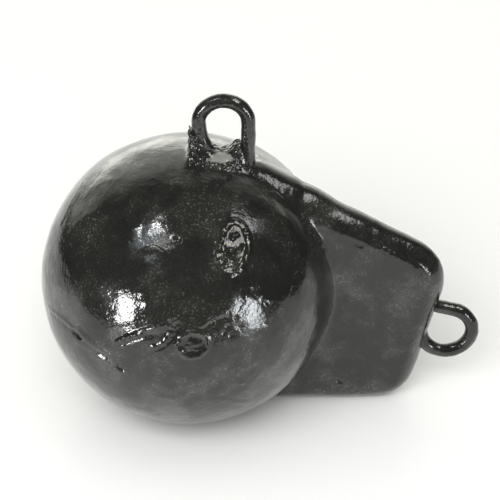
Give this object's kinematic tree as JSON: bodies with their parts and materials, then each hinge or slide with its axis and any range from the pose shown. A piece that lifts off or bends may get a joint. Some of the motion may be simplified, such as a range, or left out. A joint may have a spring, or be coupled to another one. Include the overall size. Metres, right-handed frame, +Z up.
{
  "type": "downrigger weight",
  "caption": "Vinyl-coated lead ball with a thick cast tail fin, a wire eye on top for the downrigger cable and a wire eye at the tail for a line release.",
  "frame": {"origin": "on the surface that the weight lies on, in the fin's plane, under the middle of its length", "axes": "+X towards the tail eye, +Z up, the fin stands in the XZ plane"},
  "size_m": [0.1294, 0.0867, 0.1051],
  "materials": {
    "lead": "matte",
    "vinyl": "gloss",
    "stainless_wire": "satin"
  },
  "bodies": {
    "root": {"lead_casting": "lead", "ball_coat": "vinyl", "fin_coat": "vinyl", "top_eye_wire": "stainless_wire", "tail_eye_wire": "stainless_wire", "top_eye_coat": "vinyl", "tail_eye_coat": "vinyl"}
  },
  "joints": []
}
